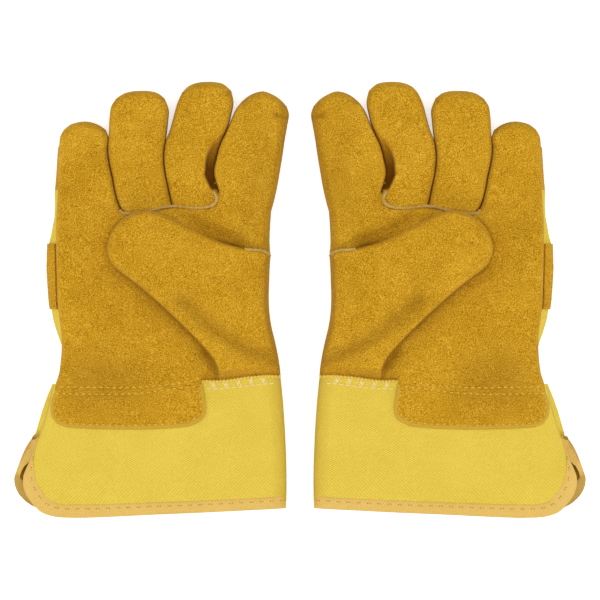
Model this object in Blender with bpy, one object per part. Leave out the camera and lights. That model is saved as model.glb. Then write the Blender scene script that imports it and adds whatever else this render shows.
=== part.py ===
"""A pair of leather-palmed work gloves with canvas safety cuffs, lying on their backs with the palms up.

Each glove is an assembly of sewn sheets. It is laid out in its own frame: u runs from the little finger
side to the thumb side, v from the hem to the fingertips, and z up from the table. u is 0 in the middle of
the knuckles and v is 0 at the wrist seam. The left glove is the mirror image of the right one.
"""

import math

import bmesh
import bpy
from mathutils import Vector

MM = 0.001

# Sheets: each thickness, and the clear space that a seam keeps between two of them
LEATHER = 1.3 * MM
CANVAS = 0.9 * MM
LINING = 0.7 * MM
ELASTIC = 1.0 * MM
TAPE = 0.6 * MM
SEAM = 0.3 * MM

# Pair: distance between the two gloves' middles
PAIR_SPACING = 166.0 * MM

# Hand: a flattened tube from the wrist seam to the slanting knuckle line
PALM_LENGTH = 108.0 * MM
KNUCKLE_SLANT = math.radians(5.5)
WRIST_WIDTH = 131.0 * MM
WRIST_SHIFT = 4.5 * MM
HAND_TOP = 24.0 * MM
HAND_SEAM = 11.0 * MM
BACK_BELLY = 3.0 * MM
SQUARENESS = 0.25
FLAT_SHARE = 1.08

# Fingers, little finger first: width at the crease, length, lean towards the thumb, the angle at which each
# side opens out from the middle, and how far a crease turns from the knuckle line to square across its finger
FINGER_WIDTH = {"little": 40.0 * MM, "ring": 29.4 * MM, "middle": 27.0 * MM, "index": 33.0 * MM}
FINGER_LENGTH = {"little": 54.5 * MM, "ring": 71.5 * MM, "middle": 76.4 * MM, "index": 69.5 * MM}
FINGER_LEAN = {"little": -4.0, "ring": -4.0, "middle": 6.2, "index": 11.5}
FINGER_FLARE = {"little": -6.5, "ring": 2.0, "middle": 2.4, "index": 0.5}
CREASE_TURN = 0.6
FINGER_GAP = 0.8 * MM
FINGER_TOP = 21.0 * MM
FINGER_SEAM = 9.5 * MM
TIP_ROUND = 13.0 * MM
TIP_FLAT = 0.42
TIP_CAP = 41.0 * MM

# Thumb: it lies across the palm, from the thumb side of the hand to its round tip, and lifts at a fold
THUMB_SEAM_BACK = 29.0 * MM
THUMB_CREASE = 34.0 * MM
THUMB_TIP_SIDE = 14.5 * MM
THUMB_TIP_BACK = 21.5 * MM
THUMB_TIP_WIDTH = 34.0 * MM
THUMB_TIP_FLAT = 0.28
THUMB_TIP_TURN = math.radians(146.0)
THUMB_THICKNESS = 18.0 * MM
THUMB_FOLD = 0.3
THUMB_BACK_START = 0.5

# Knuckle strap across the back, and the elastic sewn inside the wrist
STRAP_START = 48.0 * MM
STRAP_WIDTH = 41.0 * MM
ELASTIC_START = 8.0 * MM
ELASTIC_WIDTH = 10.0 * MM
ELASTIC_SHARE = 0.5

# Cuff: two panels, sewn together down to the slit on the little finger side
CUFF_LENGTH = 75.0 * MM
CUFF_HEM_DROP = 6.5 * MM
CUFF_LEFT_EASE = 6.0 * MM
CUFF_RIGHT_EASE = 1.0 * MM
CUFF_LEFT_FLARE = 25.0 * MM
CUFF_RIGHT_FLARE = 4.0 * MM
CUFF_TOP = 22.0 * MM
CUFF_CORNER = 26.0 * MM
SLIT_LENGTH = 46.0 * MM
SLIT_LIFT = 3.0 * MM
SLIT_SPREAD = 10.0 * MM
BINDING_WIDTH = 9.0 * MM
BINDING_START = 2.0 * MM
BINDING_TAPER = 12.0 * MM

# Pulse patch on the front of the cuff, below the palm
PATCH_EDGE = 1.0 * MM
PATCH_WIDTH = 93.0 * MM
PATCH_LENGTH = 26.0 * MM
PATCH_CORNER = 12.0 * MM

# Welts: thin leather cords in the finger and thumb seams
WELT_RADIUS = 0.7 * MM

# How finely the sheets are divided
HAND_ROWS = 6
HAND_COLUMNS = 11
FINGER_COLUMNS = 7
THUMB_COLUMNS = 9
STRAIGHT_ROWS = 3
TIP_ROWS = 4
CUFF_ROWS = 5
CORNER_ROWS = 4
WELT_POINTS = 9

COLOURS = {
    "suede": ((0.55, 0.28, 0.02), 0.9),
    "canvas": ((0.78, 0.56, 0.08), 0.85),
    "binding": ((0.75, 0.50, 0.13), 0.7),
    "welt": ((0.52, 0.43, 0.20), 0.7),
    "lining": ((0.75, 0.71, 0.62), 0.95),
    "elastic": ((0.70, 0.66, 0.55), 0.8),
}

HALF_SEAM = SEAM / 2
HAND_BOTTOM = LEATHER + SEAM
CUFF_BOTTOM = TAPE


def smooth(share):
    """0 to 1 with level ends."""
    share = max(0.0, min(1.0, share))
    return share * share * (3 - 2 * share)


def lift(across, flat=1.0):
    """How high a flattened tube's wall stands at this share of its width: 0 at the seams, 1 in the middle."""
    across = max(0.0, min(1.0, across))
    return min(1.0, flat * (4 * across * (1 - across)) ** SQUARENESS)


def shares(columns, start=0.0, end=1.0):
    """Shares of a width, closer together near the seams."""
    first, last = math.acos(1 - 2 * start), math.acos(1 - 2 * end)
    return [(1 - math.cos(first + (last - first) * j / (columns - 1))) / 2 for j in range(columns)]


def raised(point, z):
    return Vector((point.x, point.y, z))


# Layout of the hand and the fingers

ALONG_KNUCKLES = Vector((math.cos(KNUCKLE_SLANT), math.sin(KNUCKLE_SLANT)))
KNUCKLE_SPAN = sum(FINGER_WIDTH.values()) + FINGER_GAP * (len(FINGER_WIDTH) - 1)
KNUCKLE_LEFT = Vector((0, PALM_LENGTH)) - ALONG_KNUCKLES * KNUCKLE_SPAN / 2
WRIST_LEFT = Vector((WRIST_SHIFT - WRIST_WIDTH / 2, 0))
WRIST_RIGHT = Vector((WRIST_SHIFT + WRIST_WIDTH / 2, 0))


def heading(degrees):
    """A direction in the plan, leaning towards the thumb by this angle."""
    return Vector((math.sin(math.radians(degrees)), math.cos(math.radians(degrees))))


def crease(finger):
    """Direction of a finger's crease: part of the way from the knuckle line to square across the finger."""
    slant = math.degrees(KNUCKLE_SLANT)
    return heading(90 - slant + CREASE_TURN * (slant + FINGER_LEAN[finger]))


def finger_bases():
    """Both ends of each finger's crease, one finger after the other along the knuckles."""
    bases = {}
    start = KNUCKLE_LEFT
    for finger, width in FINGER_WIDTH.items():
        bases[finger] = (start, start + crease(finger) * width)
        start = bases[finger][1] + ALONG_KNUCKLES * FINGER_GAP
    return bases


FINGER_BASE = finger_bases()
KNUCKLE_RIGHT = FINGER_BASE["index"][1]
THUMB_TIP = Vector((-THUMB_TIP_SIDE, PALM_LENGTH - THUMB_TIP_BACK))
THUMB_SEAM = PALM_LENGTH - THUMB_SEAM_BACK
CUFF_TOP_LEFT = CUFF_LEFT_EASE - WRIST_LEFT.x
CUFF_TOP_RIGHT = CUFF_RIGHT_EASE + WRIST_RIGHT.x
PATCH_LEFT = PATCH_EDGE - CUFF_TOP_LEFT


def knuckle_height(u):
    """How far the hand reaches from the wrist at this place across it."""
    for start, end in FINGER_BASE.values():
        if u < end.x:
            break
    return start.y + (end.y - start.y) * (u - start.x) / (end.x - start.x)


def hand_edges(share):
    """Left and right edge of the hand at a share of the way from the wrist to the knuckles."""
    return WRIST_LEFT.lerp(KNUCKLE_LEFT, share), WRIST_RIGHT.lerp(KNUCKLE_RIGHT, share)


def hand_plan(share, across, inset):
    """A place in the plan of the hand, with both edges moved in."""
    left, right = hand_edges(share)
    u = left.x + inset + (right.x - left.x - 2 * inset) * across
    return Vector((u, share * knuckle_height(u)))


def hand_front(share, across, inset):
    base = HAND_SEAM + HALF_SEAM
    return raised(hand_plan(share, across, inset), base + (HAND_TOP - base - inset) * lift(across))


def hand_back(share, across, inset):
    point = hand_plan(share, across, inset)
    height = lift(across, FLAT_SHARE)
    if across < 0.5:
        point.x -= BACK_BELLY * math.sin(math.pi * height)
    base = HAND_SEAM - HALF_SEAM
    return raised(point, base - (base - HAND_BOTTOM - inset) * height)


def hand_top(point):
    """Height of the palm leather's outer face above a place in the plan."""
    left, right = hand_edges(point.y / knuckle_height(point.x))
    base = HAND_SEAM + HALF_SEAM
    return base + (HAND_TOP - base) * lift((point.x - left.x) / (right.x - left.x))


def finger_point(finger, station, across, inset, front):
    """A point of a finger's wall. Station is 0 at the crease, 1 where the tip starts and 2 at its end."""
    along = crease(finger)
    away = Vector((-along.y, along.x)) * HALF_SEAM
    start, end = (corner + away for corner in FINGER_BASE[finger])
    straight = FINGER_LENGTH[finger] - TIP_ROUND
    turn = math.pi / 2 * max(0.0, station - 1)
    reach = straight * min(station, 1.0) + (TIP_ROUND - inset) * math.sin(turn)
    inward = along * inset
    left = start + inward + heading(FINGER_LEAN[finger] - FINGER_FLARE[finger]) * reach
    right = end - inward + heading(FINGER_LEAN[finger] + FINGER_FLARE[finger]) * reach
    height = max(0.0, math.cos(turn)) ** 0.5 if station < 2 else 0.0
    narrow = (1 - TIP_FLAT) * (1 - height) / 2
    point = left.lerp(right, narrow + (1 - 2 * narrow) * across)
    if front:
        base = FINGER_SEAM + HALF_SEAM
        return raised(point, base + (FINGER_TOP - base - inset) * height * lift(across))
    base = FINGER_SEAM - HALF_SEAM
    return raised(point, base - (base - inset) * height * lift(across, FLAT_SHARE))


# Layout of the thumb

def thumb_edges(station, inset):
    """Lower and upper edge of the thumb in the plan. Station is 0 at the hand's side, 1 where the tip starts
    and 2 at its end."""
    across_tip = heading(90 - math.degrees(THUMB_TIP_TURN) + 90)
    low_tip = THUMB_TIP - across_tip * (THUMB_TIP_WIDTH / 2 - inset)
    high_tip = THUMB_TIP + across_tip * (THUMB_TIP_WIDTH / 2 - inset)
    side_share = THUMB_SEAM / KNUCKLE_RIGHT.y
    low_side = WRIST_RIGHT + Vector((-inset, SEAM + inset))
    fold = Vector((THUMB_CREASE, SEAM + inset))
    high_side = hand_edges(side_share)[1] + Vector((-inset, -SEAM - inset))
    straight = min(station, 1.0)
    high = high_side.lerp(high_tip, straight)
    if straight < THUMB_FOLD:
        low = low_side.lerp(fold, straight / THUMB_FOLD)
    else:
        low = fold.lerp(low_tip, (straight - THUMB_FOLD) / (1 - THUMB_FOLD))
    turn = math.pi / 2 * max(0.0, station - 1)
    forward = Vector((-across_tip.y, across_tip.x)) * (THUMB_TIP_WIDTH / 2 - inset) * math.sin(turn)
    return low + forward, high + forward


def thumb_point(station, across, inset, front):
    low, high = thumb_edges(station, inset)
    turn = math.pi / 2 * max(0.0, station - 1)
    height = max(0.0, math.cos(turn)) ** 0.5 if station < 2 else 0.0
    narrow = (1 - THUMB_TIP_FLAT) * (1 - height) / 2
    point = low.lerp(high, narrow + (1 - 2 * narrow) * across)
    over_palm = smooth(station / THUMB_FOLD)
    rise = smooth(station) * THUMB_THICKNESS / 2
    edge = [(1 - over_palm) * hand_top(p) + over_palm * HAND_TOP for p in (low, high)]
    base = edge[0] + (edge[1] - edge[0]) * across + SEAM + rise
    if front:
        crown = smooth(station / THUMB_BACK_START) * (THUMB_THICKNESS / 2 - LEATHER)
        return raised(point, base + HALF_SEAM + LEATHER - inset + crown * height * lift(across))
    depth = max(0.0, rise - HALF_SEAM - inset) * height
    return raised(point, base - HALF_SEAM - depth * lift(across, FLAT_SHARE))


# Layout of the cuff

def cuff_edges(v, front):
    """Left and right edge of a cuff panel, before its corner is rounded."""
    share = -v / CUFF_LENGTH
    spread_out = 0.0 if front else SLIT_SPREAD * slit_share(v)
    return -CUFF_TOP_LEFT - CUFF_LEFT_FLARE * share - spread_out, CUFF_TOP_RIGHT + CUFF_RIGHT_FLARE * share


def hem(u):
    """Where the hem lies: it drops towards the little finger side."""
    return -CUFF_LENGTH - CUFF_HEM_DROP * (CUFF_TOP_RIGHT - u) / (CUFF_TOP_LEFT + CUFF_TOP_RIGHT)


def slit_share(v):
    """0 above the slit, 1 at the hem."""
    return smooth((-v - CUFF_LENGTH + SLIT_LENGTH) / SLIT_LENGTH)


def binding_width(station):
    """Width of the binding along the cuff's free edge: it starts narrow at the slit's top."""
    return BINDING_START + (BINDING_WIDTH - BINDING_START) * smooth(station * SLIT_LENGTH / BINDING_TAPER)


def cuff_height(point, inset, front):
    """Height of a cuff panel's face above a place in the plan."""
    left, right = cuff_edges(point.y, front)
    across = (point.x - left - inset) / (right - left - 2 * inset)
    if front:
        base = HAND_SEAM + HALF_SEAM + SLIT_LIFT * slit_share(point.y) * max(0.0, 1 - across)
        return base + (CUFF_TOP - base - inset) * lift(across)
    base = HAND_SEAM - HALF_SEAM
    return base - (base - CUFF_BOTTOM - inset) * lift(across, FLAT_SHARE)


def cuff_outline(station, inward, front):
    """A point of the cuff's free edge, moved inward. Station is 0 at the slit's top, 1 to 2 round the corner
    and 3 at the thumb side."""
    turn = math.pi / 2 * max(0.0, min(1.0, station - 1))
    corner_v = hem(-CUFF_TOP_LEFT) + CUFF_CORNER
    corner_u = cuff_edges(corner_v, front)[0] + CUFF_CORNER
    if station < 1:
        v = -CUFF_LENGTH + SLIT_LENGTH + (corner_v + CUFF_LENGTH - SLIT_LENGTH) * station
        return Vector((cuff_edges(v, front)[0] + inward, v))
    if station <= 2:
        radius = CUFF_CORNER - inward
        return Vector((corner_u - radius * math.cos(turn), corner_v - radius * math.sin(turn)))
    v = hem(CUFF_TOP_RIGHT)
    u = corner_u + (cuff_edges(v, front)[1] - corner_u) * (station - 2)
    return Vector((u, corner_v - CUFF_CORNER + (v - corner_v + CUFF_CORNER) * (station - 2) + inward))


# Solids

def mirrored(point, side):
    """From a glove's own frame to the pair's: side is -1 for the right-hand glove, 1 for the left-hand."""
    return Vector((side * (PAIR_SPACING / 2 - point.x), point.y, point.z))


def material(name):
    found = bpy.data.materials.get(name)
    if found:
        return found
    made = bpy.data.materials.new(name)
    made.use_nodes = True
    shader = made.node_tree.nodes["Principled BSDF"]
    colour, roughness = COLOURS[name]
    shader.inputs["Base Color"].default_value = (*colour, 1.0)
    shader.inputs["Roughness"].default_value = roughness
    shader.inputs["Metallic"].default_value = 0.0
    return made


class Glove:
    """One glove of the pair: its name, its side, and the empties that its pieces hang on."""

    def __init__(self, name, side, pair):
        self.name = name
        self.side = side
        self.body = self.pivot("hand", Vector((0, 0, 0)), pair)

    def pivot(self, name, point, parent):
        empty = bpy.data.objects.new(f"{self.name}_{name}_pivot", None)
        bpy.context.scene.collection.objects.link(empty)
        empty.parent = parent
        empty.location = mirrored(point, self.side) - (parent.location if parent.parent else Vector())
        return empty

    def add(self, name, data, finish, pivot):
        """Links a piece's data, made in the pair's frame, to the pivot that carries it."""
        data.materials.append(material(finish))
        piece = bpy.data.objects.new(f"{self.name}_{name}", data)
        bpy.context.scene.collection.objects.link(piece)
        piece.parent = pivot
        piece.location = -sum((p.location for p in parents(pivot) if p.parent), Vector())
        return piece

    def sheet(self, name, outer, inner, finish, pivot):
        """One closed solid between two grids of points that have the same rows and columns."""
        mesh = bmesh.new()
        rows, columns = len(outer), len(outer[0])
        skins = []
        for points in (outer, inner):
            skins.append([[mesh.verts.new(mirrored(point, self.side)) for point in row] for row in points])
        for i in range(rows - 1):
            for j in range(columns - 1):
                corners = ((i, j), (i, j + 1), (i + 1, j + 1), (i + 1, j))
                mesh.faces.new([skins[0][k][m] for k, m in corners])
                mesh.faces.new([skins[1][k][m] for k, m in reversed(corners)])
        border = [(0, j) for j in range(columns)]
        border += [(i, columns - 1) for i in range(1, rows)]
        border += [(rows - 1, j) for j in range(columns - 2, -1, -1)]
        border += [(i, 0) for i in range(rows - 2, 0, -1)]
        for (i, j), (k, m) in zip(border, border[1:] + border[:1]):
            mesh.faces.new((skins[0][k][m], skins[0][i][j], skins[1][i][j], skins[1][k][m]))
        if mesh.calc_volume(signed=True) < 0:
            bmesh.ops.reverse_faces(mesh, faces=mesh.faces)
        data = bpy.data.meshes.new(f"{self.name}_{name}")
        mesh.to_mesh(data)
        mesh.free()
        data.shade_smooth()
        data.set_sharp_from_angle(angle=math.radians(50))
        return self.add(name, data, finish, pivot)

    def welt(self, name, points):
        """A round cord through these points."""
        curve = bpy.data.curves.new(f"{self.name}_{name}", "CURVE")
        curve.dimensions = "3D"
        curve.bevel_depth = WELT_RADIUS
        curve.bevel_resolution = 1
        curve.use_fill_caps = True
        spline = curve.splines.new("POLY")
        spline.points.add(len(points) - 1)
        for slot, point in zip(spline.points, points):
            slot.co = (*mirrored(point, self.side), 1.0)
        return self.add(name, curve, "welt", self.body)


def parents(empty):
    while empty:
        yield empty
        empty = empty.parent


def grid(surface, stations, across, inset):
    return [[surface(station, share, inset) for share in across] for station in stations]


def spread(start, end, count):
    return [start + (end - start) * i / (count - 1) for i in range(count)]


# Pieces of the hand

def hand_pieces(glove):
    end = 1 - HALF_SEAM / PALM_LENGTH
    rows = spread(SEAM / PALM_LENGTH, end, HAND_ROWS)
    columns = shares(HAND_COLUMNS)
    inside = LEATHER + SEAM
    palm = glove.sheet("palm_leather", grid(hand_front, rows, columns, 0),
                       grid(hand_front, rows, columns, LEATHER), "suede", glove.body)
    lining = glove.sheet("palm_lining", grid(hand_front, rows, columns, inside),
                         grid(hand_front, rows, columns, inside + LINING), "lining", glove.body)
    opening = thumb_opening(glove)
    for piece in (palm, lining):
        cut = piece.modifiers.new("thumb_opening", "BOOLEAN")
        cut.operation = "DIFFERENCE"
        cut.solver = "EXACT"
        cut.object = opening
    glove.sheet("back_fabric", grid(hand_back, rows, columns, 0),
                grid(hand_back, rows, columns, CANVAS), "canvas", glove.body)
    strap = spread(STRAP_START / PALM_LENGTH, (STRAP_START + STRAP_WIDTH) / PALM_LENGTH, STRAIGHT_ROWS)
    glove.sheet("knuckle_strap", grid(hand_back, strap, columns, -SEAM - LEATHER),
                grid(hand_back, strap, columns, -SEAM), "suede", glove.body)
    band = spread(ELASTIC_START / PALM_LENGTH, (ELASTIC_START + ELASTIC_WIDTH) / PALM_LENGTH, STRAIGHT_ROWS)
    middle = shares(FINGER_COLUMNS, 0.5 - ELASTIC_SHARE / 2, 0.5 + ELASTIC_SHARE / 2)
    on_fabric = CANVAS + SEAM
    glove.sheet("wrist_elastic", grid(hand_back, band, middle, on_fabric),
                grid(hand_back, band, middle, on_fabric + ELASTIC), "elastic", glove.body)


def thumb_opening(glove):
    """A block that takes the palm away where the thumb is sewn in."""
    right = max(WRIST_RIGHT.x, KNUCKLE_RIGHT.x) + LEATHER
    corners = [(THUMB_CREASE, -LEATHER), (right, -LEATHER), (right, THUMB_SEAM), (THUMB_CREASE, THUMB_SEAM)]
    mesh = bmesh.new()
    floor = [mesh.verts.new(mirrored(Vector((u, v, HAND_SEAM - LEATHER)), glove.side)) for u, v in corners]
    made = bmesh.ops.extrude_face_region(mesh, geom=[mesh.faces.new(floor)])
    top = [item for item in made["geom"] if isinstance(item, bmesh.types.BMVert)]
    bmesh.ops.translate(mesh, vec=Vector((0, 0, HAND_TOP)), verts=top)
    bmesh.ops.recalc_face_normals(mesh, faces=mesh.faces)
    data = bpy.data.meshes.new(f"{glove.name}_thumb_opening")
    mesh.to_mesh(data)
    mesh.free()
    block = glove.add("thumb_opening", data, "suede", glove.body)
    block.hide_render = True
    block.display_type = "WIRE"
    return block


# Pieces of the fingers and the thumb

def finger_pivot(glove, finger):
    """The middle of the crease on the palm side, about which a finger curls."""
    start, end = FINGER_BASE[finger]
    return glove.pivot(finger, raised((start + end) / 2, HAND_TOP), glove.body)


def finger_pieces(glove, finger):
    pivot = finger_pivot(glove, finger)
    columns = shares(FINGER_COLUMNS)
    tip = spread(1, 2, TIP_ROWS)[1:]
    whole = spread(0, 1, STRAIGHT_ROWS) + tip

    def wall(name, stations, thickness, finish, front):
        def surface(station, share, inset):
            return finger_point(finger, station, share, inset, front)
        glove.sheet(name, grid(surface, stations, columns, 0),
                    grid(surface, stations, columns, thickness), finish, pivot)

    wall(f"{finger}_front", whole, LEATHER, "suede", True)
    if finger == "index":
        wall("index_back", whole, LEATHER, "suede", False)
        return
    straight = FINGER_LENGTH[finger] - TIP_ROUND
    cap = (FINGER_LENGTH[finger] - TIP_CAP) / straight
    wall(f"{finger}_back", spread(0, cap - HALF_SEAM / straight, STRAIGHT_ROWS), CANVAS, "canvas", False)
    capped = spread(cap + HALF_SEAM / straight, 1, STRAIGHT_ROWS) + tip
    wall(f"{finger}_tip", capped, LEATHER, "suede", False)


def thumb_fold():
    """Both ends of the fold at which the thumb lifts off the palm, at the height of its outer face."""
    top = max(thumb_point(THUMB_FOLD, share, 0, True).z for share in shares(THUMB_COLUMNS))
    return [raised(point, top) for point in thumb_edges(THUMB_FOLD, 0)]


def thumb_pieces(glove):
    low, high = thumb_fold()
    pivot = glove.pivot("thumb", (low + high) / 2, glove.body)
    columns = shares(THUMB_COLUMNS)
    gap = HALF_SEAM / (WRIST_RIGHT.x + THUMB_TIP_SIDE)
    base_shares = (0, 1 / 40, 1 / 20, 1 / 12, 1 / 8, 1 / 5, 1 / 3, 2 / 3)
    base_rows = [THUMB_FOLD * share for share in base_shares] + [THUMB_FOLD - gap]
    back_rows = spread(THUMB_BACK_START, 1, STRAIGHT_ROWS) + spread(1, 2, TIP_ROWS)[1:]
    front_rows = [THUMB_FOLD + gap, (THUMB_FOLD + THUMB_BACK_START) / 2] + back_rows

    def wall(name, stations, carrier, front):
        def surface(station, share, inset):
            return thumb_point(station, share, inset, front)
        glove.sheet(name, grid(surface, stations, columns, 0),
                    grid(surface, stations, columns, LEATHER), "suede", carrier)

    wall("thumb_base", base_rows, glove.body, True)
    wall("thumb_front", front_rows, pivot, True)
    wall("thumb_back", back_rows, pivot, False)


# Pieces of the cuff

def panel_starts(front):
    """The little finger side of a cuff panel in the plan: it ends where its binding begins."""
    slit = cuff_outline(0, 0, front).y
    for v in spread(-SEAM, slit + 2 * SEAM, STRAIGHT_ROWS):
        yield Vector((cuff_edges(v, front)[0], v))
    for station in edge_stations():
        start = cuff_outline(station, binding_width(station) + SEAM, front)
        yield start + Vector((0, SEAM)) if station == 0 else start


def edge_stations():
    """Stations of the cuff's free edge, down the slit and round the corner."""
    return spread(0, 1, CUFF_ROWS) + spread(1, 2, CORNER_ROWS)[1:]


def panel_rows(front):
    """Plan points of a cuff panel."""
    starts = list(panel_starts(front))
    end = cuff_outline(3, BINDING_WIDTH + SEAM, front).y
    drop = starts[-1].y + SEAM
    for start in starts:
        v = -SEAM + (end + SEAM) * (start.y + SEAM) / drop
        right = Vector((cuff_edges(v, front)[1], v))
        left_edge, right_edge = cuff_edges(start.y, front)
        first = max(0.0, (start.x - left_edge) / (right_edge - left_edge))
        yield [start.lerp(right, (share - first) / (1 - first)) for share in shares(HAND_COLUMNS, first)]


def cuff_panel(glove, front):
    rows = list(panel_rows(front))

    def skin(inset):
        return [[raised(point, cuff_height(point, inset, front)) for point in row] for row in rows]

    glove.sheet("cuff_front" if front else "cuff_back", inner_edges(skin(0), front, 0),
                inner_edges(skin(CANVAS), front, CANVAS), "canvas", glove.body)


def inner_edges(rows, front, inset):
    """The seam edges of a cuff panel's face, moved in by its thickness."""
    for row in rows:
        row[-1] = row[-1] - Vector((inset, 0, 0))
        if cuff_edges(row[0].y, front)[0] + inset > row[0].x:
            row[0] = row[0] + Vector((inset, 0, 0))
    return rows


def cuff_binding(glove, front):
    def skin(inset):
        rows = []
        for station in edge_stations() + spread(2, 3, HAND_ROWS)[1:]:
            width = binding_width(station)
            points = [cuff_outline(station, width * share, front) for share in (0, 0.25, 1)]
            rows.append([raised(point, cuff_height(point, inset, front)) for point in points])
        return rows

    name = "cuff_front_binding" if front else "cuff_back_binding"
    glove.sheet(name, skin(-TAPE), skin(CANVAS + TAPE), "binding", glove.body)


def pulse_patch(glove):
    """A leather patch with round lower corners, sewn over the top of the cuff's front."""
    turns = [math.pi / 2 * i / CORNER_ROWS for i in range(CORNER_ROWS + 1)]
    top, corner = -SEAM, -PATCH_LENGTH + PATCH_CORNER
    downs = [(v, 0.0) for v in spread(top, corner, STRAIGHT_ROWS)[:-1]]
    downs += [(corner - PATCH_CORNER * math.sin(t), PATCH_CORNER * (1 - math.cos(t))) for t in turns]
    rows = []
    for v, pull in downs:
        left = Vector((PATCH_LEFT + pull, v))
        right = Vector((PATCH_LEFT + PATCH_WIDTH - pull, v))
        rows.append([left.lerp(right, share) for share in shares(HAND_COLUMNS)])

    def skin(inset):
        return [[raised(point, cuff_height(point, inset, True)) for point in row] for row in rows]

    glove.sheet("pulse_patch", skin(-SEAM - LEATHER), skin(-SEAM), "suede", glove.body)


# Welts

def welts(glove):
    back = SEAM + WELT_RADIUS
    across = spread(FINGER_BASE["little"][1].x, FINGER_BASE["index"][0].x, WELT_POINTS)
    path = [Vector((u, knuckle_height(u) - back)) for u in across]
    glove.welt("finger_welt", [raised(point, hand_top(point) + SEAM + WELT_RADIUS) for point in path])
    beside = Vector((0, SEAM * 2 + WELT_RADIUS))
    path = [thumb_edges(share, 0)[1] + beside for share in spread(0.02, THUMB_FOLD, WELT_POINTS)]
    glove.welt("thumb_welt", [raised(point, hand_top(point) + SEAM + WELT_RADIUS) for point in path])


def glove_pieces(glove):
    hand_pieces(glove)
    for finger in FINGER_WIDTH:
        finger_pieces(glove, finger)
    thumb_pieces(glove)
    for front in (True, False):
        cuff_panel(glove, front)
        cuff_binding(glove, front)
    pulse_patch(glove)
    welts(glove)


def centre(pair):
    """Moves the pair so that its middle lies over the origin."""
    bpy.context.view_layer.update()
    heights = [
        (piece.matrix_world @ Vector(corner)).y
        for piece in bpy.context.scene.objects if piece.type != "EMPTY" and not piece.hide_render
        for corner in piece.bound_box
    ]
    pair.location.y = -(min(heights) + max(heights)) / 2


def main():
    for old in list(bpy.data.objects):
        bpy.data.objects.remove(old, do_unlink=True)
    pair = bpy.data.objects.new("pair", None)
    bpy.context.scene.collection.objects.link(pair)
    for name, side in (("right", -1), ("left", 1)):
        glove_pieces(Glove(name, side, pair))
    centre(pair)


main()
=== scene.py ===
"""A pair of leather-palmed work gloves with canvas cuffs, palms up on white, seen from straight above.

The CAD part is the frame. Every panel is drawn in the right-hand glove's own plan, in mm: u runs from the
little finger side to the thumb side, y from the hem to the fingertips, and z up from the table. The left-hand
glove is its mirror image.
"""
import math

import bpy
import numpy as np
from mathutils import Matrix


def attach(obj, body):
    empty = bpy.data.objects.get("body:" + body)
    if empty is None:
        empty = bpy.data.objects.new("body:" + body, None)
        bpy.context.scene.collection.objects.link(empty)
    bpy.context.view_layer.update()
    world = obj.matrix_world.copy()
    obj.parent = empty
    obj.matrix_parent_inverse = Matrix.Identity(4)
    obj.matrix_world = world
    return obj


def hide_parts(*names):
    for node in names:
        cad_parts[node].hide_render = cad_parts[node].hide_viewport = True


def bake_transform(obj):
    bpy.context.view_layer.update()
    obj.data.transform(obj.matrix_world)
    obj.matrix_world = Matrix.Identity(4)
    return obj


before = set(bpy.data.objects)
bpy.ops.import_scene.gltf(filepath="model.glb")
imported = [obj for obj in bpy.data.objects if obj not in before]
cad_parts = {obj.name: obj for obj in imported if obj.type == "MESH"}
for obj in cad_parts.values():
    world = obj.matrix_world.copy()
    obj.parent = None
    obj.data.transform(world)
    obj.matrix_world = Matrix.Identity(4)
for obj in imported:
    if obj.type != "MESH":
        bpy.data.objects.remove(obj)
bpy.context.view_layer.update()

MM = 0.001
HALF_PAIR = 83
HANDS = {"right": -1, "left": 1}

# Thicknesses of the sheets
LEATHER = 1.2
CANVAS = 0.9
BINDING_TAPE = 0.55
THICKNESS = {"suede": LEATHER, "canvas": CANVAS, "lining": 0.6, "elastic": 0.8}

# Heights of the seams between palm side and back, and of the surfaces
HAND_SEAM = 11
FINGER_SEAM = 9.5
PALM_TOP = 24.3
FINGER_TOP = 21
CUFF_TOP = 22.6
BACK_FLOOR = 1.5
FINGER_FLOOR = 0.3
CUFF_FLOOR = 1.7

# The seam lies higher between inner fingers, and the back's edge lies lower where the back bulges
SIDE_RISE = 4.5
SIDE_RISE_WIDTH = 3.5
SEAM_GAP = 0.05
BULGE_DROP = 1.55
BULGE_REACH = 10
BULGE_START = 1.9

# The seam allowance of the back, turned up inside the palm side: least share of it, way in, way up
ALLOWANCE_LEAST = 0.1
ALLOWANCE_IN = 1.8
ALLOWANCE_UP = 3

# How far in from its edge a panel rounds over, and how round or square that edge is
SIDE_ROLL = 2.6
OUTER_ROLL = 5
TIP_ROLL = 4.8
BACK_ROLL = 8
FINGER_BACK_ROLL = 7
THUMB_ROLL = 3
THUMB_BACK_ROLL = 8.5
ROOT_ROLL = 10
CUFF_ROLL = 13
UPPER_SLIT_ROLL = 15
LOWER_SLIT_ROLL = 14
PATCH_ROLL = 1.6
ROUND = 2.3
SQUARE = 3.4

# At the slit the cuff's front lifts and its back drops. Beside the patch the front sags over tucked leather.
SLIT_LIFT = 5
SLIT_DROP = 4.5
CUFF_SAG = 1.2
CUFF_TUCK = 0.9
UPPER_SLIT_POINTS = 70
LOWER_SLIT_POINTS = 90

# The patch: its height over the cuff at its edge, its rise inside that, and how its stitches pull it down
PATCH_LIFT = 0.4
PATCH_RISE = 1.1
STITCH_PULL = 0.45
STITCH_PULL_WIDTH = 0.9

# The valley beside the index finger: width of its edge, and what that gains towards the tip
VALLEY_EDGE = 2
VALLEY_SOFTER = 4

# The thumb: thickness at its fold, gain towards its tip, and the shares of it at the front's and back's edges
THUMB_CLEARANCE = 0.3
FOLD_THICKNESS = 4
THUMB_GAIN = 9.5
THUMB_START = 28
THUMB_LENGTH = 55
THUMB_EDGE = 0.22
THUMB_BACK_EDGE = 0.2
THUMB_BACK_DROP = 0.18
ROOT_RISE_WIDTH = 4
ROOT_DIP = 0.9
ROOT_DIP_WIDTH = 3

# Dips beside the finger welt: depth and width
PALM_WELT_DIP = 3, 3.2
FINGER_WELT_DIP = 1.4, 2.4

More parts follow.
